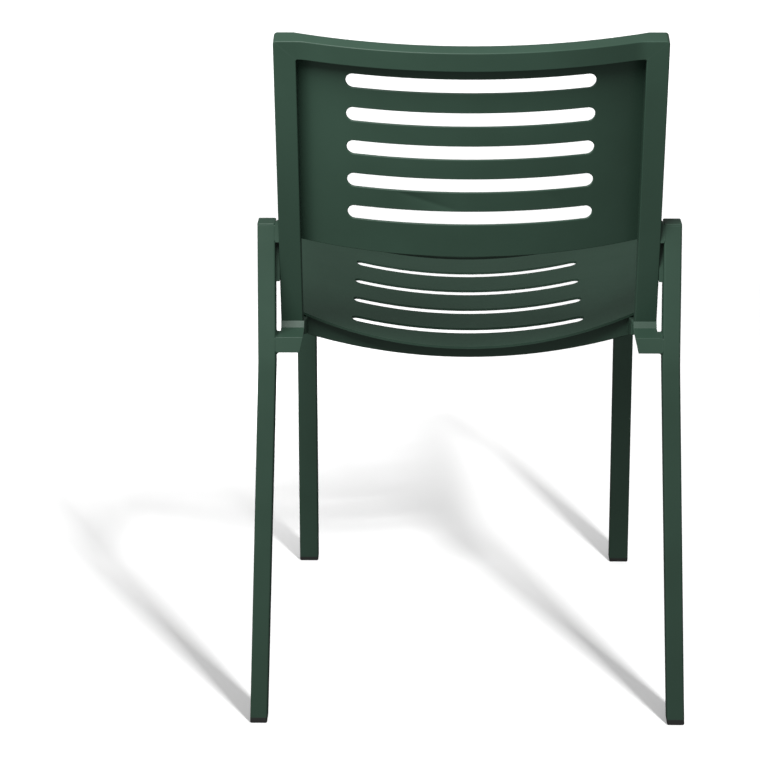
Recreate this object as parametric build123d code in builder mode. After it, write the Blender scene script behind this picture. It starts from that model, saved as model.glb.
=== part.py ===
from build123d import *
from build123d.topology import SkipClean
import math
import os

# Stacking chair of welded, powder-coated aluminium.
# Millimetres. +Z is up, the chair faces -Y, and the sitter's left is +X.
# The origin is on the floor, at the centre of the chair's footprint.

# ---------------------------------------------------------------- dimensions

# Square tube shared by the back frame and the front legs
FRAME_TUBE = 24.5
TUBE_WALL = 2.0
TUBE_CORNER = 2.2
INNER_TUBE_CORNER = 0.6

# Back: a leaning frame with a bowed, slotted panel at its front face
BACK_LEAN = 13.62
BACK_CENTRE = (0, 240.05, 678)
BACK_HALF_WIDTH = 213.9
PANEL_RADIUS = 540.0
PANEL_THICKNESS = 3.0
PANEL_BOTTOM_CENTRE = -129.3
PANEL_BOTTOM_END = -125.0
RAIL_BOTTOM = 105.9
RAIL_TOP = 128.0
RAIL_BEHIND_PANEL = 17.0
RAIL_DEPTH = 20.0
UPRIGHT_REAR = -14.0
UPRIGHT_LENGTH = 250.0
CORNER_BLEND_REAR = 36.0
CORNER_BLEND_FRONT = 40.0
OUTER_CORNER = 4.0
INNER_CORNER = 2.0
FRAME_ROUND = 1.2

# Slots in the back panel
BACK_SLOT_COUNT = 5
BACK_SLOT_PITCH = 40.3
BACK_SLOT_LENGTH = 272.0
BACK_SLOT_WIDTH = 16.5

# Seat: a dished, slotted sheet with a lip folded down at the front
SEAT_SLOPE = 4.0
SEAT_ORIGIN = (0, 73.45, 425)
SEAT_RADIUS = 561.0
SEAT_THICKNESS = 3.0
SEAT_HALF_WIDTH = 212.0
SEAT_REAR = 52.0
SEAT_REAR_BOW = 28.0
SEAT_REAR_CORNER = 10.0
SEAT_FRONT = -356.5
LIP_DEPTH = 40.0
LIP_BEND = 15.0
SEAT_SLOT_COUNT = 5
SEAT_SLOT_PITCH = 64.8
SEAT_SLOT_LENGTH = 272.8
SEAT_SLOT_WIDTH = 17.0
SHEET_ROUND = 0.8

# Rails under the seat, measured along the seat from its rearmost slot
SIDE_RAIL_INNER = 187.5
SIDE_RAIL_REAR = 26.0
SIDE_RAIL_FRONT = -352.0
SIDE_RAIL_BOTTOM = 6.0
CROSS_RAIL_THICKNESS = 8.0
RAIL_ROUND = 1.0
REAR_RAIL_FACE = 23.0
REAR_RAIL_HEIGHT = 21.8
REAR_RAIL_RADIUS = 632.0
FRONT_RAIL_HEIGHT = 22.0

# Rear legs: upright beside the back, splayed below the seat
REAR_LEG_WIDTH = 20.0
REAR_LEG_DEPTH = 26.0
REAR_LEG_FOOT = (242.9, 239.55, 0)
REAR_LEG_BEND = (228.0, 210.45, 428)
REAR_LEG_TOP = (228.0, 181.55, 587)
REAR_LEG_BEND_RADIUS = 120.0

# Front legs: almost plumb, under the front ends of the side rails
FRONT_LEG_FOOT = (207.0, -274.25, 0)
FRONT_LEG_TOP = (205.8, -265.25, 455)

# Plates that close the tops of the legs
CAP_THICKNESS = 2.5
CAP_ROUND = 1.2

# Bracket that ties each rear leg to the upright and to the side rail
BRACKET_TOP = 460.5
BRACKET_BOTTOM = 443.0
BRACKET_INNER_TOP = 187.0
BRACKET_INNER_BOTTOM = 191.0
BRACKET_RAMP = 6.5
BRACKET_NOSE_TOP = 27.5
BRACKET_FILLET_BELOW = 6.5
BRACKET_FILLET_ABOVE = 3.0
BRACKET_ROUND = 0.8

# Spacer that joins the upright to the top of the rear leg
SPACER_RECESS = 14.0
SPACER_STEP = 566.0
SPACER_FLOOR = 519.0
SPACER_FILLET = 3.0

# Plastic glides in the feet and pads under the side rails
REAR_GLIDE_HEIGHT = 7.0
FRONT_GLIDE_HEIGHT = 5.5
GLIDE_ROUND = 1.8
PLUG_LENGTH = 22.0
PLUG_SLACK = 0.9
RIB_SLACK = 0.05
RIB_HEIGHT = 1.5
RIB_COUNT = 3
PAD_LENGTH = 36.0
PAD_WIDTH = 14.0
PAD_HEIGHT = 5.0
PAD_ROUND = 1.5
PAD_PLACES = {"rear": -45.0, "front": -255.0}

# ------------------------------------------------------------------- datums

lean = math.radians(BACK_LEAN)
back_up = Vector(0, math.sin(lean), math.cos(lean))
back_rearward = Vector(0, math.cos(lean), -math.sin(lean))
back_plan = Plane(origin=BACK_CENTRE, x_dir=(1, 0, 0), z_dir=back_up)
back_face = Plane(origin=BACK_CENTRE, x_dir=(-1, 0, 0), z_dir=back_rearward)

slope = math.radians(SEAT_SLOPE)
seat_normal = Vector(0, math.sin(slope), math.cos(slope))
seat_rearward = Vector(0, math.cos(slope), -math.sin(slope))
seat_plane = Plane(origin=SEAT_ORIGIN, x_dir=(1, 0, 0), z_dir=seat_normal)
seat_side = Plane(origin=SEAT_ORIGIN, x_dir=seat_rearward, z_dir=(1, 0, 0))
dish_centre = Vector(*SEAT_ORIGIN) + seat_normal * SEAT_RADIUS

upright_inner = BACK_HALF_WIDTH - FRAME_TUBE
upright_front = UPRIGHT_REAR - FRAME_TUBE
leg_inner = REAR_LEG_TOP[0] - REAR_LEG_WIDTH / 2
underside_radius = SEAT_RADIUS + SEAT_THICKNESS
up_axis = Axis(BACK_CENTRE, back_up)
room = 300.0


def sag(radius, x):
    """How far an arc of this radius rises from its lowest point at x."""
    return radius - math.sqrt(radius**2 - x**2)


def seat_section(distance):
    """Plane across the seat, this far behind the rearmost slot, that looks forward."""
    origin = Vector(*SEAT_ORIGIN) + seat_rearward * distance
    return Plane(origin=origin, x_dir=(1, 0, 0), z_dir=-seat_rearward)


def upright_y(offset, z):
    """Where a face of the upright at this offset stands at height z."""
    return BACK_CENTRE[1] + offset / math.cos(lean) + (z - BACK_CENTRE[2]) * math.tan(lean)


def leg_y(offset, z):
    """Where the upper part of the rear leg stands at height z, this far behind its centre."""
    rise = REAR_LEG_TOP[2] - REAR_LEG_BEND[2]
    run = REAR_LEG_TOP[1] - REAR_LEG_BEND[1]
    return REAR_LEG_BEND[1] + offset + (z - REAR_LEG_BEND[2]) * run / rise


def save(piece, name):
    """Label a finished piece and write it out."""
    piece.label = name
    export_step(piece, f"parts/{name}.step")


def save_pair(left_piece, stem):
    """Write the left piece and its mirror image on the right."""
    save(left_piece, f"{stem}_left")
    with BuildPart() as right_piece:
        mirror(left_piece, about=Plane.YZ)
    save(right_piece.part, f"{stem}_right")


# --------------------------------------------------------------------- back


def make_back_hoop():
    """Top rail and both uprights as one hollow frame, before it is cut at the mitres."""
    rear_radius = PANEL_RADIUS + RAIL_BEHIND_PANEL
    front_radius = rear_radius - RAIL_DEPTH
    front_crown = RAIL_BEHIND_PANEL - RAIL_DEPTH
    rear_turn = math.sqrt(rear_radius**2 - (PANEL_RADIUS + UPRIGHT_REAR) ** 2)
    front_turn = math.sqrt(front_radius**2 - (PANEL_RADIUS + upright_front) ** 2)

    with BuildPart() as hoop:
        # plan of the rail: bowed between the uprights, straight behind them
        with BuildSketch(back_plan.offset(-UPRIGHT_LENGTH)) as plan:
            with BuildLine():
                ThreePointArc((-rear_turn, UPRIGHT_REAR), (0, RAIL_BEHIND_PANEL), (rear_turn, UPRIGHT_REAR))
                Polyline(
                    (rear_turn, UPRIGHT_REAR),
                    (BACK_HALF_WIDTH, UPRIGHT_REAR),
                    (BACK_HALF_WIDTH, upright_front),
                    (front_turn, upright_front),
                )
                ThreePointArc((front_turn, upright_front), (0, front_crown), (-front_turn, upright_front))
                Polyline(
                    (-front_turn, upright_front),
                    (-BACK_HALF_WIDTH, upright_front),
                    (-BACK_HALF_WIDTH, UPRIGHT_REAR),
                    (-rear_turn, UPRIGHT_REAR),
                )
            make_face()
            turns = plan.vertices().filter_by(lambda v: abs(v.X) < BACK_HALF_WIDTH - TUBE_WALL)
            fillet(turns.sort_by(Axis.Y)[2:], CORNER_BLEND_REAR)
            fillet(turns.sort_by(Axis.Y)[:2], CORNER_BLEND_FRONT)
        extrude(amount=UPRIGHT_LENGTH + RAIL_TOP)

        # rear view of the frame: rounded top corners and the opening for the panel
        with BuildSketch(back_face):
            with Locations((0, RAIL_TOP - room)):
                RectangleRounded(2 * BACK_HALF_WIDTH, 2 * room, OUTER_CORNER)
        extrude(amount=room, both=True, mode=Mode.INTERSECT)
        with BuildSketch(back_face):
            with Locations((0, RAIL_BOTTOM - room)):
                RectangleRounded(2 * upright_inner, 2 * room, INNER_CORNER)
        extrude(amount=room, both=True, mode=Mode.SUBTRACT)
        rims = hoop.edges().filter_by(up_axis, reverse=True)
        lower_end = BACK_CENTRE[2] - UPRIGHT_LENGTH * math.cos(lean) + FRAME_TUBE
        fillet(rims.filter_by(lambda edge: edge.center().Z > lower_end), FRAME_ROUND)

        # the hollow of the rail and of both uprights
        bore = PANEL_RADIUS + RAIL_BEHIND_PANEL - TUBE_WALL
        bore_turn = upright_inner - TUBE_WALL
        with BuildSketch(back_plan.offset(RAIL_BOTTOM + TUBE_WALL)):
            with BuildLine():
                rear_arc = ThreePointArc(
                    (-bore_turn, RAIL_BEHIND_PANEL - TUBE_WALL - sag(bore, bore_turn)),
                    (0, RAIL_BEHIND_PANEL - TUBE_WALL),
                    (bore_turn, RAIL_BEHIND_PANEL - TUBE_WALL - sag(bore, bore_turn)),
                )
                inner = front_radius + TUBE_WALL
                front_arc = ThreePointArc(
                    (-bore_turn, front_crown + TUBE_WALL - sag(inner, bore_turn)),
                    (0, front_crown + TUBE_WALL),
                    (bore_turn, front_crown + TUBE_WALL - sag(inner, bore_turn)),
                )
                Line(rear_arc @ 0, front_arc @ 0)
                Line(rear_arc @ 1, front_arc @ 1)
            make_face()
        extrude(amount=RAIL_TOP - RAIL_BOTTOM - 2 * TUBE_WALL, mode=Mode.SUBTRACT)
        tube_centre = BACK_HALF_WIDTH - FRAME_TUBE / 2
        with BuildSketch(back_plan.offset(-UPRIGHT_LENGTH)):
            with Locations(
                (tube_centre, UPRIGHT_REAR - FRAME_TUBE / 2),
                (-tube_centre, UPRIGHT_REAR - FRAME_TUBE / 2),
            ):
                Rectangle(FRAME_TUBE - 2 * TUBE_WALL, FRAME_TUBE - 2 * TUBE_WALL)
        extrude(amount=UPRIGHT_LENGTH + RAIL_TOP - TUBE_WALL, mode=Mode.SUBTRACT)
    return hoop.part


def mitre_plane(side):
    """Cut through one upper corner of the back frame, facing the rail."""
    along = Vector(side * FRAME_TUBE, 0, 0) + back_up * (RAIL_TOP - RAIL_BOTTOM)
    corner = Vector(*BACK_CENTRE) + Vector(side * upright_inner, 0, 0) + back_up * RAIL_BOTTOM
    return Plane(origin=corner, x_dir=back_rearward, z_dir=along.cross(back_rearward) * side)


def make_back_top_rail(hoop):
    with BuildPart() as back_top_rail:
        add(hoop)
        split(bisect_by=mitre_plane(1), keep=Keep.TOP)
        split(bisect_by=mitre_plane(-1), keep=Keep.TOP)
    return back_top_rail.part


def make_back_upright(hoop):
    """Left upright, cut level where it stands on its bracket."""
    with BuildPart() as back_upright:
        add(hoop)
        split(bisect_by=Plane.YZ, keep=Keep.TOP)
        split(bisect_by=mitre_plane(1), keep=Keep.BOTTOM)
        split(bisect_by=Plane.XY.offset(BRACKET_TOP), keep=Keep.TOP)
    return back_upright.part


def make_back_panel():
    """Bowed sheet between the uprights, with slots and a slightly bellied lower edge."""
    with BuildPart() as back_panel:
        rear = sag(PANEL_RADIUS, upright_inner)
        front = sag(PANEL_RADIUS - PANEL_THICKNESS, upright_inner) + PANEL_THICKNESS
        with BuildSketch(back_plan.offset(PANEL_BOTTOM_CENTRE)):
            with BuildLine():
                ThreePointArc((-upright_inner, -rear), (0, 0), (upright_inner, -rear))
                Line((upright_inner, -rear), (upright_inner, -front))
                ThreePointArc((upright_inner, -front), (0, -PANEL_THICKNESS), (-upright_inner, -front))
                Line((-upright_inner, -front), (-upright_inner, -rear))
            make_face()
        extrude(amount=RAIL_BOTTOM - PANEL_BOTTOM_CENTRE)

        with BuildSketch(back_face) as outline:
            with BuildLine():
                ThreePointArc(
                    (-upright_inner, PANEL_BOTTOM_END),
                    (0, PANEL_BOTTOM_CENTRE),
                    (upright_inner, PANEL_BOTTOM_END),
                )
                Polyline(
                    (upright_inner, PANEL_BOTTOM_END),
                    (upright_inner, RAIL_BOTTOM),
                    (-upright_inner, RAIL_BOTTOM),
                    (-upright_inner, PANEL_BOTTOM_END),
                )
            make_face()
            fillet(outline.vertices().sort_by(Axis.Y)[2:], INNER_CORNER)
            with GridLocations(0, BACK_SLOT_PITCH, 1, BACK_SLOT_COUNT):
                SlotOverall(BACK_SLOT_LENGTH, BACK_SLOT_WIDTH, mode=Mode.SUBTRACT)
        extrude(amount=room, both=True, mode=Mode.INTERSECT)

        # softened edges round the slots and along the lower edge
        free_edges = ShapeList()
        for sheet_face in back_panel.faces().sort_by(SortBy.AREA)[-2:]:
            free_edges += sheet_face.inner_wires().edges()
            free_edges += sheet_face.outer_wire().edges().sort_by(Axis.Z)[:1]
        fillet(free_edges, SHEET_ROUND)
    return back_panel.part


# --------------------------------------------------------------------- seat


def make_seat_panel():
    """Dished sheet, turned about the axis of the dish, with its front lip."""
    half_angle = math.asin((SEAT_HALF_WIDTH + LIP_BEND) / SEAT_RADIUS)
    outward = Vector(math.sin(half_angle), 0, 0) - seat_normal * math.cos(half_angle)
    edge_plane = Plane(origin=dish_centre, x_dir=seat_rearward, z_dir=seat_rearward.cross(outward))
    beyond_rear = SEAT_REAR + LIP_BEND
    bend_start = SEAT_FRONT + LIP_BEND
    lip_edge = SEAT_RADIUS + LIP_DEPTH
    bend_centre = SEAT_RADIUS + LIP_BEND

    with BuildPart() as seat_panel:
        with BuildSketch(edge_plane):
            with BuildLine():
                Line((beyond_rear, SEAT_RADIUS), (bend_start, SEAT_RADIUS))
                TangentArc((bend_start, SEAT_RADIUS), (SEAT_FRONT, bend_centre), tangent=(-1, 0))
                Polyline(
                    (SEAT_FRONT, bend_centre),
                    (SEAT_FRONT, lip_edge),
                    (SEAT_FRONT + SEAT_THICKNESS, lip_edge),
                    (SEAT_FRONT + SEAT_THICKNESS, bend_centre),
                )
                TangentArc(
                    (SEAT_FRONT + SEAT_THICKNESS, bend_centre),
                    (bend_start, underside_radius),
                    tangent=(0, -1),
                )
                Polyline(
                    (bend_start, underside_radius),
                    (beyond_rear, underside_radius),
                    (beyond_rear, SEAT_RADIUS),
                )
            make_face()
        revolve(axis=Axis(dish_centre, seat_rearward), revolution_arc=2 * math.degrees(half_angle))

        # outline from above, with the bowed rear edge, and the slots
        with BuildSketch(seat_plane) as outline:
            with BuildLine():
                ThreePointArc(
                    (-SEAT_HALF_WIDTH, SEAT_REAR - SEAT_REAR_BOW),
                    (0, SEAT_REAR),
                    (SEAT_HALF_WIDTH, SEAT_REAR - SEAT_REAR_BOW),
                )
                Polyline(
                    (SEAT_HALF_WIDTH, SEAT_REAR - SEAT_REAR_BOW),
                    (SEAT_HALF_WIDTH, SEAT_FRONT),
                    (-SEAT_HALF_WIDTH, SEAT_FRONT),
                    (-SEAT_HALF_WIDTH, SEAT_REAR - SEAT_REAR_BOW),
                )
            make_face()
            fillet(outline.vertices().sort_by(Axis.Y)[2:], SEAT_REAR_CORNER)
            with Locations(*[(0, -row * SEAT_SLOT_PITCH) for row in range(SEAT_SLOT_COUNT)]):
                SlotOverall(SEAT_SLOT_LENGTH, SEAT_SLOT_WIDTH, mode=Mode.SUBTRACT)
        extrude(amount=room, both=True, mode=Mode.INTERSECT)

        # softened lower edge of the lip
        fillet(seat_panel.edges().sort_by(Axis.Y)[:2], SHEET_ROUND)

    # two seams from front to rear keep the dished faces narrow
    seam = SEAT_SLOT_LENGTH / 4
    with BuildPart() as middle_strip:
        add(seat_panel.part)
        split(bisect_by=Plane.YZ.offset(-seam), keep=Keep.TOP)
        split(bisect_by=Plane.YZ.offset(seam), keep=Keep.BOTTOM)
    with BuildPart() as left_strip:
        add(seat_panel.part)
        split(bisect_by=Plane.YZ.offset(seam), keep=Keep.TOP)
    with SkipClean():
        seamed_panel = middle_strip.part + left_strip.part + left_strip.part.mirror(Plane.YZ)
    return seamed_panel


def make_seat_side_rail():
    """Left tube under the edge of the seat, its top shaped to the dish."""
    with BuildPart() as seat_side_rail:
        with BuildSketch(seat_section(SIDE_RAIL_REAR)):
            with Locations(((SIDE_RAIL_INNER + SEAT_HALF_WIDTH) / 2, SIDE_RAIL_BOTTOM)):
                Rectangle(SEAT_HALF_WIDTH - SIDE_RAIL_INNER, room, align=(Align.CENTER, Align.MIN))
            with Locations((0, SEAT_RADIUS)):
                Circle(underside_radius, mode=Mode.SUBTRACT)
            offset(amount=-TUBE_WALL, kind=Kind.INTERSECTION, mode=Mode.SUBTRACT)
        extrude(amount=SIDE_RAIL_REAR - SIDE_RAIL_FRONT)
        fillet(seat_side_rail.edges().filter_by(GeomType.LINE).sort_by(SortBy.LENGTH)[-8:], RAIL_ROUND)

        # the front end is cut away under the bend of the lip
        bend_start = SEAT_FRONT + LIP_BEND
        rise = sag(underside_radius, SIDE_RAIL_INNER) - SEAT_THICKNESS
        with BuildSketch(seat_side):
            with BuildLine():
                Polyline(
                    (bend_start + LIP_BEND, rise + LIP_BEND),
                    (bend_start - LIP_BEND, rise - LIP_BEND),
                    (bend_start - LIP_BEND, rise + LIP_BEND),
                    close=True,
                )
            make_face()
        extrude(amount=room, mode=Mode.SUBTRACT)
    return seat_side_rail.part


def make_seat_rear_rail():
    """Arched flat bar between the side rails, under the rear edge of the seat."""
    top = -SEAT_THICKNESS
    bottom = -SEAT_THICKNESS - REAR_RAIL_HEIGHT
    top_end = top + sag(underside_radius, SIDE_RAIL_INNER)
    bottom_end = bottom + sag(REAR_RAIL_RADIUS, SIDE_RAIL_INNER)
    with BuildPart() as seat_rear_rail:
        with BuildSketch(seat_section(REAR_RAIL_FACE)):
            with BuildLine():
                ThreePointArc((-SIDE_RAIL_INNER, top_end), (0, top), (SIDE_RAIL_INNER, top_end))
                Line((SIDE_RAIL_INNER, top_end), (SIDE_RAIL_INNER, bottom_end))
                ThreePointArc((SIDE_RAIL_INNER, bottom_end), (0, bottom), (-SIDE_RAIL_INNER, bottom_end))
                Line((-SIDE_RAIL_INNER, bottom_end), (-SIDE_RAIL_INNER, top_end))
            make_face()
        extrude(amount=CROSS_RAIL_THICKNESS)
        fillet(seat_rear_rail.edges().filter_by(GeomType.CIRCLE).sort_by(Axis.Z)[:2], RAIL_ROUND)
    return seat_rear_rail.part


def make_seat_front_rail():
    """Arched flat bar that stiffens the lip from behind."""
    top = -LIP_BEND
    bottom = top - FRONT_RAIL_HEIGHT
    top_end = top + sag(SEAT_RADIUS + LIP_BEND, SIDE_RAIL_INNER)
    bottom_end = bottom + sag(SEAT_RADIUS + LIP_BEND + FRONT_RAIL_HEIGHT, SIDE_RAIL_INNER)
    with BuildPart() as seat_front_rail:
        with BuildSketch(seat_section(SEAT_FRONT + SEAT_THICKNESS + CROSS_RAIL_THICKNESS)):
            with BuildLine():
                ThreePointArc((-SIDE_RAIL_INNER, top_end), (0, top), (SIDE_RAIL_INNER, top_end))
                Line((SIDE_RAIL_INNER, top_end), (SIDE_RAIL_INNER, bottom_end))
                ThreePointArc((SIDE_RAIL_INNER, bottom_end), (0, bottom), (-SIDE_RAIL_INNER, bottom_end))
                Line((-SIDE_RAIL_INNER, bottom_end), (-SIDE_RAIL_INNER, top_end))
            make_face()
        extrude(amount=CROSS_RAIL_THICKNESS)
        fillet(seat_front_rail.edges().filter_by(GeomType.CIRCLE).sort_by(Axis.Z)[:2], RAIL_ROUND)
    return seat_front_rail.part


# --------------------------------------------------------------------- legs

front_leg_plane = Plane(
    origin=FRONT_LEG_FOOT,
    x_dir=(1, 0, 0),
    z_dir=Vector(*FRONT_LEG_TOP) - Vector(*FRONT_LEG_FOOT),
)
rear_leg_foot_plane = Plane(
    origin=REAR_LEG_FOOT,
    x_dir=(1, 0, 0),
    z_dir=Vector(*REAR_LEG_BEND) - Vector(*REAR_LEG_FOOT),
)
cap_underside = seat_plane.offset(SIDE_RAIL_BOTTOM - CAP_THICKNESS)
rear_cap_underside = Plane.XY.offset(REAR_LEG_TOP[2] - CAP_THICKNESS)


def front_leg_bar(inset, corner):
    """Square bar along the front leg, smaller all round than the leg by the inset."""
    width = FRAME_TUBE - 2 * inset
    with BuildPart() as bar:
        with BuildSketch(front_leg_plane.offset(-FRAME_TUBE)):
            RectangleRounded(width, width, corner)
        extrude(amount=2 * room)
    return bar.part


def rear_leg_bar(inset, corner):
    """Bent bar along the rear leg, smaller all round than the leg by the inset."""
    foot = Vector(*REAR_LEG_FOOT)
    bend = Vector(*REAR_LEG_BEND)
    top = Vector(*REAR_LEG_TOP)
    low_end = foot + (foot - bend).normalized() * FRAME_TUBE
    high_end = top + (top - bend).normalized() * FRAME_TUBE
    with BuildPart() as bar:
        with BuildLine() as path:
            FilletPolyline(high_end, bend, low_end, radius=REAR_LEG_BEND_RADIUS)
        with BuildSketch(Plane(origin=high_end, x_dir=(1, 0, 0), z_dir=path.wire() % 0)):
            RectangleRounded(REAR_LEG_WIDTH - 2 * inset, REAR_LEG_DEPTH - 2 * inset, corner)
        sweep()
    return bar.part


def make_front_leg():
    with BuildPart() as front_leg:
        add(front_leg_bar(0, TUBE_CORNER))
        add(front_leg_bar(TUBE_WALL, INNER_TUBE_CORNER), mode=Mode.SUBTRACT)
        split(bisect_by=Plane.XY.offset(FRONT_GLIDE_HEIGHT), keep=Keep.TOP)
        split(bisect_by=cap_underside, keep=Keep.BOTTOM)
    return front_leg.part


def make_front_leg_cap():
    """Plate that closes the front leg under the side rail."""
    with BuildPart() as front_leg_cap:
        add(front_leg_bar(0, TUBE_CORNER))
        split(bisect_by=cap_underside, keep=Keep.TOP)
        split(bisect_by=seat_plane.offset(SIDE_RAIL_BOTTOM), keep=Keep.BOTTOM)
    return front_leg_cap.part


def make_rear_leg():
    with BuildPart() as rear_leg:
        add(rear_leg_bar(0, TUBE_CORNER))
        add(rear_leg_bar(TUBE_WALL, INNER_TUBE_CORNER), mode=Mode.SUBTRACT)
        split(bisect_by=Plane.XY.offset(REAR_GLIDE_HEIGHT), keep=Keep.TOP)
        split(bisect_by=rear_cap_underside, keep=Keep.BOTTOM)
    return rear_leg.part


def make_rear_leg_cap():
    """Plate that closes the rear leg beside the back."""
    with BuildPart() as rear_leg_cap:
        add(rear_leg_bar(0, TUBE_CORNER))
        split(bisect_by=rear_cap_underside, keep=Keep.TOP)
        split(bisect_by=Plane.XY.offset(REAR_LEG_TOP[2]), keep=Keep.BOTTOM)
        fillet(rear_leg_cap.faces().sort_by(Axis.Z)[-1].edges(), CAP_ROUND)
    return rear_leg_cap.part


def make_glide(foot_plane, width, depth, height):
    """Plastic foot: a visible cap and a ribbed plug inside the leg."""
    bore_width = width - 2 * TUBE_WALL
    bore_depth = depth - 2 * TUBE_WALL
    with BuildPart() as glide:
        with BuildSketch(foot_plane.offset(-height)):
            RectangleRounded(width, depth, TUBE_CORNER)
        extrude(amount=3 * height)
        split(bisect_by=Plane.XY, keep=Keep.TOP)
        split(bisect_by=Plane.XY.offset(height), keep=Keep.BOTTOM)
        fillet(glide.faces().sort_by(Axis.Z)[0].edges(), GLIDE_ROUND)
        with BuildSketch(foot_plane.offset(height / 2)):
            Rectangle(bore_width - 2 * PLUG_SLACK, bore_depth - 2 * PLUG_SLACK)
        extrude(amount=height / 2 + PLUG_LENGTH)
        for rib in range(1, RIB_COUNT + 1):
            with BuildSketch(foot_plane.offset(height + rib * PLUG_LENGTH / (RIB_COUNT + 1))):
                RectangleRounded(bore_width - 2 * RIB_SLACK, bore_depth - 2 * RIB_SLACK, TUBE_CORNER)
            extrude(amount=RIB_HEIGHT)
    return glide.part


# ------------------------------------------------------ brackets and spacers


def make_leg_bracket():
    """Left casting: an arm from the rear leg that carries the upright and the side rail."""
    nose_top = seat_side.from_local_coords((SIDE_RAIL_REAR, BRACKET_NOSE_TOP, 0))
    nose_bottom = seat_side.from_local_coords((SIDE_RAIL_REAR, SIDE_RAIL_BOTTOM, 0))
    half_depth = REAR_LEG_DEPTH / 2
    upright_rear_foot = upright_y(UPRIGHT_REAR, BRACKET_TOP)
    upright_front_foot = upright_y(upright_front, BRACKET_TOP)
    ramp_top = BRACKET_TOP + BRACKET_RAMP
    strip_front = leg_y(-half_depth, BRACKET_TOP)

    with BuildPart() as leg_bracket:
        # side view: level arm under the upright, nose down to the side rail
        with BuildSketch(Plane.YZ.offset(BRACKET_INNER_TOP)):
            with BuildLine():
                Polyline(
                    (leg_y(half_depth, BRACKET_BOTTOM), BRACKET_BOTTOM),
                    (leg_y(half_depth, BRACKET_TOP), BRACKET_TOP),
                    (upright_front_foot, BRACKET_TOP),
                    (nose_top.Y, nose_top.Z),
                    (nose_bottom.Y, nose_bottom.Z),
                    (upright_front_foot, BRACKET_BOTTOM),
                    close=True,
                )
            make_face()
        extrude(amount=leg_inner - BRACKET_INNER_TOP)

        # rear view: the inner end of the arm slants in towards its lower edge
        with BuildSketch(Plane.XZ.offset(-room)):
            with BuildLine():
                Polyline(
                    (BRACKET_INNER_TOP, BRACKET_TOP),
                    (BRACKET_INNER_BOTTOM, BRACKET_BOTTOM),
                    (BRACKET_INNER_BOTTOM, nose_bottom.Z),
                    (BRACKET_INNER_TOP, nose_bottom.Z),
                    close=True,
                )
            make_face()
        extrude(amount=room - upright_front_foot, mode=Mode.SUBTRACT)

        # outboard of the upright only a strip beside the leg is left
        with BuildSketch(Plane.XY.offset(nose_bottom.Z)):
            with BuildLine():
                Polyline(
                    (BACK_HALF_WIDTH, strip_front),
                    (leg_inner, strip_front),
                    (leg_inner, nose_bottom.Y),
                    (SEAT_HALF_WIDTH, nose_bottom.Y),
                    (SEAT_HALF_WIDTH, upright_front_foot),
                    (BACK_HALF_WIDTH, upright_front_foot),
                    close=True,
                )
            make_face()
        extrude(amount=BRACKET_TOP, mode=Mode.SUBTRACT)
        clear_of_leg = leg_inner - BRACKET_ROUND
        fillet(leg_bracket.edges().filter_by(lambda e: e.center().X < clear_of_leg), BRACKET_ROUND)

        # small hollow fillets where the arm meets the leg, above and below
        fillets = ((BRACKET_BOTTOM, -BRACKET_FILLET_BELOW), (BRACKET_TOP, BRACKET_FILLET_ABOVE))
        with BuildSketch(Plane.XZ.offset(-leg_y(half_depth, BRACKET_TOP))):
            for face_height, rise in fillets:
                inside = leg_inner - abs(rise)
                end_height = face_height + rise
                with BuildLine():
                    TangentArc(
                        (leg_inner, end_height),
                        (inside, face_height),
                        tangent=(0, -rise),
                    )
                    Polyline((inside, face_height), (leg_inner, face_height), (leg_inner, end_height))
                make_face()
        extrude(amount=REAR_LEG_DEPTH - BRACKET_FILLET_ABOVE)

        # ramp up to the rear face of the upright
        with BuildSketch(Plane.YZ.offset(BRACKET_INNER_TOP + BRACKET_ROUND)):
            with BuildLine():
                Polyline(
                    (upright_rear_foot, BRACKET_TOP),
                    (upright_rear_foot + BRACKET_RAMP, BRACKET_TOP),
                    (upright_y(UPRIGHT_REAR, ramp_top), ramp_top),
                    close=True,
                )
            make_face()
        extrude(amount=BACK_HALF_WIDTH - BRACKET_INNER_TOP - BRACKET_ROUND)
    return leg_bracket.part


def make_upright_spacer():
    """Left plate between the upright and the top of the rear leg, flared at its upper end."""
    half_depth = REAR_LEG_DEPTH / 2
    recess = half_depth - SPACER_RECESS
    top = REAR_LEG_TOP[2]
    step_end = SPACER_STEP - SPACER_FILLET
    shoulder = SPACER_FLOOR + SPACER_RECESS
    front = upright_front + SPACER_FILLET
    thickness = leg_inner - BACK_HALF_WIDTH
    with BuildPart() as upright_spacer:
        with BuildSketch(Plane.YZ.offset(BACK_HALF_WIDTH)):
            with BuildLine():
                Polyline(
                    (leg_y(half_depth, top), top),
                    (leg_y(half_depth, SPACER_STEP), SPACER_STEP),
                    (leg_y(recess, step_end), step_end),
                    (leg_y(recess, SPACER_FLOOR), SPACER_FLOOR),
                    (upright_y(upright_front + FRAME_TUBE / 2, SPACER_FLOOR), SPACER_FLOOR),
                    (upright_y(front, shoulder), shoulder),
                    (upright_y(front, top), top),
                    close=True,
                )
            make_face()
        extrude(amount=thickness)

        # hollow flare from the top of the leg up to the side of the upright
        with BuildSketch(Plane.XZ.offset(-leg_y(half_depth, top))):
            with BuildLine():
                TangentArc((leg_inner, top), (BACK_HALF_WIDTH, top + thickness), tangent=(-1, 0))
                Polyline((BACK_HALF_WIDTH, top + thickness), (BACK_HALF_WIDTH, top), (leg_inner, top))
            make_face()
        extrude(amount=leg_y(half_depth, top) - upright_y(front, top))
    return upright_spacer.part


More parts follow.
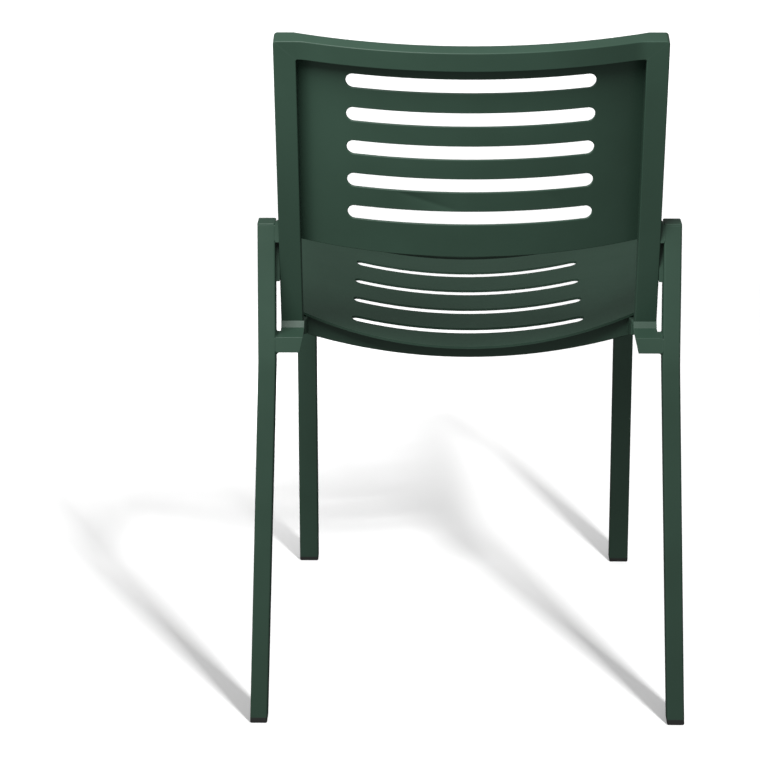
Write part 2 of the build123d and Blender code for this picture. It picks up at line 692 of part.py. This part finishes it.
def make_stacking_pad(distance):
    """Plastic pad under the left side rail, on which a stacked chair rests."""
    middle = (SIDE_RAIL_INNER + SEAT_HALF_WIDTH) / 2
    with BuildPart() as stacking_pad:
        with BuildSketch(seat_plane.offset(SIDE_RAIL_BOTTOM)):
            with Locations((middle, distance)):
                SlotOverall(PAD_LENGTH, PAD_WIDTH, rotation=90)
        extrude(amount=-PAD_HEIGHT)
        fillet(stacking_pad.faces().sort_by(Axis.Z)[0].edges(), PAD_ROUND)
    return stacking_pad.part


# -------------------------------------------------------------------- output

os.makedirs("parts", exist_ok=True)

back_hoop = make_back_hoop()
save(make_back_top_rail(back_hoop), "back_top_rail")
save_pair(make_back_upright(back_hoop), "back_upright")
save(make_back_panel(), "back_panel")

save(make_seat_panel(), "seat_panel")
save_pair(make_seat_side_rail(), "seat_side_rail")
save(make_seat_rear_rail(), "seat_rear_rail")
save(make_seat_front_rail(), "seat_front_rail")

save_pair(make_front_leg(), "front_leg")
save_pair(make_front_leg_cap(), "front_leg_cap")
save_pair(make_rear_leg(), "rear_leg")
save_pair(make_rear_leg_cap(), "rear_leg_cap")
save_pair(make_leg_bracket(), "leg_bracket")
save_pair(make_upright_spacer(), "upright_spacer")

save_pair(make_glide(front_leg_plane, FRAME_TUBE, FRAME_TUBE, FRONT_GLIDE_HEIGHT), "front_glide")
save_pair(make_glide(rear_leg_foot_plane, REAR_LEG_WIDTH, REAR_LEG_DEPTH, REAR_GLIDE_HEIGHT), "rear_glide")
for place, distance in PAD_PLACES.items():
    save_pair(make_stacking_pad(distance), f"{place}_stacking_pad")
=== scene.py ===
import bmesh
import bpy
import math
from mathutils import Matrix, Quaternion, Vector


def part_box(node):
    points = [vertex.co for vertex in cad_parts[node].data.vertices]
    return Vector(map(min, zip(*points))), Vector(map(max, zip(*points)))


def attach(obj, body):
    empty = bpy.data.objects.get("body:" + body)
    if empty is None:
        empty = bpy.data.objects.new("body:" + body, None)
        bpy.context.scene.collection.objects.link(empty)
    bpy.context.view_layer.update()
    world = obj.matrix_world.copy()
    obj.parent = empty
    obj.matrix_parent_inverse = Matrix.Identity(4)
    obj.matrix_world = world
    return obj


# Stacking chair of powder-coated aluminium, on a pale studio floor.
# Metres. +Z is up, the chair faces -Y and the camera stands behind it.

# ---------------------------------------------------------------- settings

# Camera: a long lens behind the chair, a little to the sitter's left, looking down on it
CAMERA_PLACE = Vector((0.0331, 3.2419, 1.3900))
CAMERA_TURN = math.radians(1.275)
CAMERA_DIP = math.radians(17.948)
CAMERA_ROLL = math.radians(-0.22)
CAMERA_LENS = 133.0
CAMERA_REACH = 100.0

# Floor lamp: a soft lamp behind the chair, to the sitter's right, which only the floor receives
LAMP_PLACE = Vector((-1.35, 3.12, 2.92))
LAMP_TARGET = Vector((0.0, -0.20, 0.0))
LAMP_SIZE = 0.38
LAMP_POWER = 245.0

# Floor fill: an even light from straight above, which the chair doesn't block
FILL_PLACE = Vector((0.0, 0.0, 3.0))
FILL_STRENGTH = 0.9

# Floor washes: lights ahead of the chair that thin its shadow there
WASHES = (
    # place, size, power
    (Vector((0.5, -0.95, 0.5)), 0.6, 4.5),
    (Vector((0.0, -4.4, 2.0)), 4.0, 106.0),
)

# Soft box: a square light above and behind the chair, to the sitter's left
BOX_PLACE = Vector((0.44, 1.10, 1.74))
BOX_TARGET = Vector((0.0, 0.20, 0.50))
BOX_SIZE = 0.9
BOX_POWER = 37.0

# Surroundings: brightest in one direction and darkest in the opposite one
SKY_BRIGHT_SIDE = Vector((0.15, 0.70, 0.70)).normalized()
SKY_LOW = 0.0
SKY_HIGH = 0.50

# Floor: a round one that reaches far past the chair
FLOOR_RADIUS = 60.0
FLOOR_SIDES = 64

# Weld beads under the paint: a ripple takes two steps along the bead
BEAD_RADIUS = 0.0014
BEAD_RIPPLE = 0.14
BEAD_TAPER = 0.35
BEAD_STEP = 0.0011
BEAD_FEWEST_STEPS = 4
BEAD_SIDES = 10
SEAT_SLOPE = math.radians(4.0)
UPRIGHT_FOOT_DEPTH = 0.0252
CROSS_RAIL_THICKNESS = 0.008
SIDE_RAIL_DEPTH = 0.0225
REAR_WELD_DROP = 0.0015
FRONT_WELD_DROP = 0.001
FRONT_RAIL_WELD = 0.0095

# Smooth filler along the rounded inner corner of each rear leg
FILLER_RADIUS = 0.00125
FILLER_OUTWARD = 0.0008
FILLER_AHEAD = 0.0010
BRACKET_FILLER_DROP = 0.0005
BRACKET_FILLER_HEIGHT = 0.0165
SPACER_FILLER_DROP = 0.0015
SPACER_FILLER_HEIGHT = 0.0190
LEG_LEAN = math.radians(10.3)

# Colours, as linear RGBA
PAINT_GREEN = (0.031, 0.065, 0.045, 1.0)
# Paler green on the paint's edges: partly rubbed paint, partly a painted edge highlight
PAINT_RUBBED_AND_HIGHLIGHT = (0.060, 0.100, 0.080, 1.0)
PAINT_DEEP = (0.027, 0.057, 0.039, 1.0)
PLASTIC_BLACK = (0.012, 0.013, 0.012, 1.0)
PLASTIC_SCUFF = (0.055, 0.055, 0.052, 1.0)
FLOOR_PALE = (0.70, 0.70, 0.70, 1.0)

# How round the paler edges of each material look: on the paint they are partly rubbed wear and
# partly a painted highlight, on the plastic scuffs
PAINT_EDGE = 0.0012
PLASTIC_EDGE = 0.0008
EDGE_SAMPLES = 8

# Cosine between the true and the rounded surface: off the edge, and fully on it
OFF_EDGE = 1.0
ON_EDGE = 0.80

# Places of the colour sockets in a Mix node
MIX_FIRST = 6
MIX_SECOND = 7
MIX_RESULT = 2

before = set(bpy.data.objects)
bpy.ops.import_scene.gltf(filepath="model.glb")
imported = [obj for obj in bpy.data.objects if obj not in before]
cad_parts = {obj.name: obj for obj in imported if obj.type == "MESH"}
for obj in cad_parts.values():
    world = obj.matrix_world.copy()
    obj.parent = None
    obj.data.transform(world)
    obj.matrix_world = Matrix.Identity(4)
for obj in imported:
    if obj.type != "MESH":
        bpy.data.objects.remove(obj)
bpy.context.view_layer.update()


# --------------------------------------------------------------- materials


def new_material(name):
    """Empty node material with one Principled shader, and its node tree."""
    material = bpy.data.materials.new(name)
    material.use_nodes = True
    tree = material.node_tree
    tree.nodes.clear()
    shader = tree.nodes.new("ShaderNodeBsdfPrincipled")
    output = tree.nodes.new("ShaderNodeOutputMaterial")
    tree.links.new(shader.outputs["BSDF"], output.inputs["Surface"])
    return material, tree, shader


def noise(tree, scale, detail, roughness=0.5):
    """Noise that is fixed to the object's own place."""
    place = tree.nodes.new("ShaderNodeTexCoord")
    texture = tree.nodes.new("ShaderNodeTexNoise")
    texture.inputs["Scale"].default_value = scale
    texture.inputs["Detail"].default_value = detail
    texture.inputs["Roughness"].default_value = roughness
    tree.links.new(place.outputs["Object"], texture.inputs["Vector"])
    return texture.outputs["Fac"]


def spread(tree, value, low, high, to_low=0.0, to_high=1.0):
    """Stretch a value from one range to another, and keep it inside."""
    node = tree.nodes.new("ShaderNodeMapRange")
    node.inputs["From Min"].default_value = low
    node.inputs["From Max"].default_value = high
    node.inputs["To Min"].default_value = to_low
    node.inputs["To Max"].default_value = to_high
    tree.links.new(value, node.inputs["Value"])
    return node.outputs["Result"]


def blend(tree, share, first, second):
    """Mix two colours; each is a colour or the output of another node."""
    node = tree.nodes.new("ShaderNodeMix")
    node.data_type = "RGBA"
    tree.links.new(share, node.inputs["Factor"])
    for place, colour in ((MIX_FIRST, first), (MIX_SECOND, second)):
        socket = node.inputs[place]
        if isinstance(colour, tuple):
            socket.default_value = colour
        else:
            tree.links.new(colour, socket)
    return node.outputs[MIX_RESULT]


def multiply(tree, first, second):
    """Product of two values."""
    node = tree.nodes.new("ShaderNodeMath")
    node.operation = "MULTIPLY"
    tree.links.new(first, node.inputs[0])
    tree.links.new(second, node.inputs[1])
    return node.outputs["Value"]


def edge_share(tree, radius):
    """How far a point lies on an edge rounded off to this radius, from 0 to 1."""
    bevel = tree.nodes.new("ShaderNodeBevel")
    bevel.samples = EDGE_SAMPLES
    bevel.inputs["Radius"].default_value = radius
    geometry = tree.nodes.new("ShaderNodeNewGeometry")
    product = tree.nodes.new("ShaderNodeVectorMath")
    product.operation = "DOT_PRODUCT"
    tree.links.new(bevel.outputs["Normal"], product.inputs[0])
    tree.links.new(geometry.outputs["Normal"], product.inputs[1])
    return spread(tree, product.outputs["Value"], low=OFF_EDGE, high=ON_EDGE)


def bump(tree, height, strength, distance, normal=None):
    """Raise the surface by a height map; distance is the full height in metres."""
    node = tree.nodes.new("ShaderNodeBump")
    node.inputs["Strength"].default_value = strength
    node.inputs["Distance"].default_value = distance
    tree.links.new(height, node.inputs["Height"])
    if normal is not None:
        tree.links.new(normal, node.inputs["Normal"])
    return node.outputs["Normal"]


def powder_coat():
    """Satin powder coat: fine orange peel, a faint mottle and paler edges that are partly rubbed
    paint and partly a painted highlight.
    """
    material, tree, shader = new_material("powder_coat")
    clouds = noise(tree, scale=9.0, detail=3.0)
    mottle = spread(tree, clouds, low=0.35, high=0.65)
    base = blend(tree, mottle, PAINT_DEEP, PAINT_GREEN)
    # Paler edges, in patches: partly rubbed paint, partly a painted highlight along the rounded
    # edges
    patches = noise(tree, scale=60.0, detail=4.0, roughness=0.6)
    rub_and_highlight = spread(tree, patches, low=0.45, high=0.75, to_low=0.15, to_high=0.75)
    edge = multiply(tree, edge_share(tree, PAINT_EDGE), rub_and_highlight)
    tree.links.new(blend(tree, edge, base, PAINT_RUBBED_AND_HIGHLIGHT), shader.inputs["Base Color"])
    sheen = noise(tree, scale=35.0, detail=5.0, roughness=0.6)
    gloss = spread(tree, sheen, low=0.3, high=0.7, to_low=0.40, to_high=0.50)
    tree.links.new(gloss, shader.inputs["Roughness"])
    fine = noise(tree, scale=900.0, detail=2.0)
    peel = bump(tree, fine, strength=0.35, distance=0.00012)
    coarse = noise(tree, scale=260.0, detail=1.0)
    ripple = bump(tree, coarse, strength=0.25, distance=0.0002, normal=peel)
    tree.links.new(ripple, shader.inputs["Normal"])
    shader.inputs["Specular IOR Level"].default_value = 0.25
    return material


def glide_plastic():
    """Black moulded plastic with a fine grain, scuffed grey along its edges."""
    material, tree, shader = new_material("glide_plastic")
    scratches = noise(tree, scale=420.0, detail=5.0, roughness=0.7)
    scuff = spread(tree, scratches, low=0.5, high=0.7)
    edge = multiply(tree, edge_share(tree, PLASTIC_EDGE), scuff)
    tree.links.new(blend(tree, edge, PLASTIC_BLACK, PLASTIC_SCUFF), shader.inputs["Base Color"])
    sheen = noise(tree, scale=150.0, detail=3.0)
    gloss = spread(tree, sheen, low=0.3, high=0.7, to_low=0.48, to_high=0.62)
    tree.links.new(gloss, shader.inputs["Roughness"])
    grain = noise(tree, scale=1800.0, detail=2.0)
    tree.links.new(bump(tree, grain, strength=0.4, distance=0.0001), shader.inputs["Normal"])
    return material


def floor_paint():
    """Plain pale studio floor."""
    material, tree, shader = new_material("studio_floor")
    shader.inputs["Base Color"].default_value = FLOOR_PALE
    shader.inputs["Roughness"].default_value = 0.9
    shader.inputs["Specular IOR Level"].default_value = 0.1
    return material


def dress(materials):
    """Give each material slot of the record its finished material."""
    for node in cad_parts.values():
        for slot in node.material_slots:
            slot_name = slot.material.name.split(".")[0]
            slot.material = materials[slot_name]


# ------------------------------------------------------------------- welds


def add_bead(mesh, start, end, radius, ripple):
    """Round bead from one point to another, thicker at every other step and thin at its ends."""
    along = end - start
    steps = max(BEAD_FEWEST_STEPS, round(along.length / BEAD_STEP))
    across = along.orthogonal().normalized()
    other = along.normalized().cross(across)
    rings = []
    for step in range(steps + 1):
        taper = BEAD_TAPER if step in (0, steps) else 1.0
        size = radius * taper * (1.0 + ripple * (step % 2))
        centre = start.lerp(end, step / steps)
        ring = []
        for side in range(BEAD_SIDES):
            turn = math.tau * side / BEAD_SIDES
            outward = math.cos(turn) * across + math.sin(turn) * other
            ring.append(mesh.verts.new(centre + size * outward))
        rings.append(ring)
    for ring, following in zip(rings, rings[1:]):
        for side in range(BEAD_SIDES):
            beside = (side + 1) % BEAD_SIDES
            mesh.faces.new((ring[side], ring[beside], following[beside], following[side]))
    mesh.faces.new(reversed(rings[0]))
    mesh.faces.new(rings[-1])


def rail_welds():
    """Where both cross rails meet the left side rail."""
    down = Vector((0.0, -math.sin(SEAT_SLOPE), -math.cos(SEAT_SLOPE)))
    ahead = Vector((0.0, -math.cos(SEAT_SLOPE), math.sin(SEAT_SLOPE)))
    beads = []
    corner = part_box("seat_rear_rail")[1] + down * REAR_WELD_DROP
    for face in (corner, corner + ahead * CROSS_RAIL_THICKNESS):
        beads.append((face, face + down * (SIDE_RAIL_DEPTH - REAR_WELD_DROP)))
    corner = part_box("seat_front_rail")[1] + down * FRONT_WELD_DROP
    beads.append((corner, corner + down * FRONT_RAIL_WELD))
    return beads


def upright_welds():
    """Round the foot of the left upright, on its inner and front sides."""
    front_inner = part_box("back_upright_left")[0]
    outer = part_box("upright_spacer_left")[0].x
    rear_inner = front_inner + Vector((0.0, UPRIGHT_FOOT_DEPTH, 0.0))
    front_outer = Vector((outer, front_inner.y, front_inner.z))
    return [(front_inner, rear_inner), (front_inner, front_outer)]


def leg_cap_welds():
    """Round the top of the left front leg, under the side rail."""
    low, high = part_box("front_leg_cap_left")
    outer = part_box("seat_side_rail_left")[1].x
    drop = (high.y - low.y) * math.tan(SEAT_SLOPE)
    front_inner = Vector((low.x, low.y, high.z))
    front_outer = Vector((outer, low.y, high.z))
    rear_inner = Vector((low.x, high.y, high.z - drop))
    rear_outer = Vector((outer, high.y, high.z - drop))
    return [
        (front_inner, front_outer),
        (front_outer, rear_outer),
        (rear_outer, rear_inner),
        (rear_inner, front_inner),
    ]


def leg_fillers():
    """Along the rounded inner corner of the left rear leg, beside its bracket and its spacer."""
    up_the_leg = Vector((0.0, -math.tan(LEG_LEAN), 1.0))
    bracket_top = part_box("back_upright_left")[0].z - BRACKET_FILLER_DROP
    spacer_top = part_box("rear_leg_cap_left")[1].z - SPACER_FILLER_DROP
    beads = []
    for node, top, height in (
        ("leg_bracket_left", bracket_top, BRACKET_FILLER_HEIGHT),
        ("upright_spacer_left", spacer_top, SPACER_FILLER_HEIGHT),
    ):
        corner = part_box(node)[1]
        start = Vector((corner.x + FILLER_OUTWARD, corner.y - FILLER_AHEAD, top - height))
        beads.append((start, start + up_the_leg * height))
    return beads


def make_welds(paint):
    """Weld beads and fillers of both sides, as one piece."""
    mesh = bmesh.new()
    rippled = rail_welds() + upright_welds() + leg_cap_welds()
    smooth = leg_fillers()
    for side in (1.0, -1.0):
        mirror = Matrix.Diagonal((side, 1.0, 1.0))
        for start, end in rippled:
            add_bead(mesh, mirror @ start, mirror @ end, BEAD_RADIUS, BEAD_RIPPLE)
        for start, end in smooth:
            add_bead(mesh, mirror @ start, mirror @ end, FILLER_RADIUS, 0.0)
    bmesh.ops.recalc_face_normals(mesh, faces=mesh.faces)
    data = bpy.data.meshes.new("frame_welds")
    mesh.to_mesh(data)
    mesh.free()
    data.shade_smooth()
    data.materials.append(paint)
    welds = bpy.data.objects.new("frame_welds", data)
    bpy.context.collection.objects.link(welds)
    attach(welds, "root")
    return welds


# ------------------------------------------------------------------- stage


def make_floor():
    """Round floor of one face; its light doesn't bounce back onto the chair."""
    mesh = bpy.data.meshes.new("floor")
    corners = [
        (FLOOR_RADIUS * math.cos(turn), FLOOR_RADIUS * math.sin(turn), 0.0)
        for turn in (math.tau * step / FLOOR_SIDES for step in range(FLOOR_SIDES))
    ]
    mesh.from_pydata(corners, [], [range(FLOOR_SIDES)])
    mesh.materials.append(floor_paint())
    floor = bpy.data.objects.new("floor", mesh)
    bpy.context.collection.objects.link(floor)
    floor.visible_diffuse = False
    floor.visible_glossy = False
    return floor


def only_these(name, objects):
    """Collection for light linking: it stays outside the scene and only lists objects."""
    collection = bpy.data.collections.new(name)
    for item in objects:
        collection.objects.link(item)
    return collection


def place_light(data, place, target):
    """Put a light into the scene so that it shines from one point towards another."""
    light = bpy.data.objects.new(data.name, data)
    light.location = place
    light.rotation_euler = (place - target).to_track_quat("Z", "Y").to_euler()
    bpy.context.collection.objects.link(light)
    return light


def make_floor_lights(floor):
    """Soft lamp that throws the chair's shadow, and lights that the chair doesn't block."""
    stage = only_these("stage_only", [floor])
    lamp = bpy.data.lights.new("floor_lamp", "AREA")
    lamp.energy = LAMP_POWER
    lamp.size = LAMP_SIZE
    light = place_light(lamp, LAMP_PLACE, LAMP_TARGET)
    light.light_linking.receiver_collection = stage

    fill = bpy.data.lights.new("floor_fill", "SUN")
    fill.energy = FILL_STRENGTH
    unblocked = [place_light(fill, FILL_PLACE, Vector())]
    straight_down = Vector((0.0, 0.0, -1.0))
    for place, size, power in WASHES:
        wash = bpy.data.lights.new("floor_wash", "AREA")
        wash.energy = power
        wash.size = size
        unblocked.append(place_light(wash, place, place + straight_down))
    for light in unblocked:
        light.light_linking.receiver_collection = stage
        light.light_linking.blocker_collection = stage


def make_soft_box(chair):
    """Square light over the back of the chair, which leaves the floor alone."""
    data = bpy.data.lights.new("soft_box", "AREA")
    data.energy = BOX_POWER
    data.size = BOX_SIZE
    light = place_light(data, BOX_PLACE, BOX_TARGET)
    light.light_linking.receiver_collection = only_these("chair_only", chair)


def make_sky():
    """White surroundings that are brighter on one side, like a large soft box."""
    world = bpy.data.worlds.new("studio")
    world.use_nodes = True
    tree = world.node_tree
    place = tree.nodes.new("ShaderNodeTexCoord")
    product = tree.nodes.new("ShaderNodeVectorMath")
    product.operation = "DOT_PRODUCT"
    product.inputs[1].default_value = SKY_BRIGHT_SIDE
    tree.links.new(place.outputs["Generated"], product.inputs[0])
    strength = spread(tree, product.outputs["Value"], -1.0, 1.0, SKY_LOW, SKY_HIGH)
    tree.links.new(strength, tree.nodes["Background"].inputs["Strength"])
    tree.nodes["Background"].inputs["Color"].default_value = (1.0, 1.0, 1.0, 1.0)
    bpy.context.scene.world = world


def make_camera():
    """Camera behind the chair, aimed by its turn, dip and roll."""
    data = bpy.data.cameras.new("camera")
    data.lens = CAMERA_LENS
    data.clip_end = CAMERA_REACH
    camera = bpy.data.objects.new("camera", data)
    level = Vector((math.sin(CAMERA_TURN), -math.cos(CAMERA_TURN), 0.0))
    ahead = level * math.cos(CAMERA_DIP) - Vector((0.0, 0.0, math.sin(CAMERA_DIP)))
    camera.location = CAMERA_PLACE
    camera.rotation_mode = "QUATERNION"
    roll = Quaternion((0.0, 0.0, 1.0), CAMERA_ROLL)
    camera.rotation_quaternion = ahead.to_track_quat("-Z", "Y") @ roll
    bpy.context.collection.objects.link(camera)
    bpy.context.scene.camera = camera


# ------------------------------------------------------------------- scene

paint = powder_coat()
dress({"powder_coat": paint, "glide_plastic": glide_plastic()})
welds = make_welds(paint)
make_floor_lights(make_floor())
make_soft_box([*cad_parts.values(), welds])
make_sky()
make_camera()
bpy.context.scene.view_settings.view_transform = "Standard"
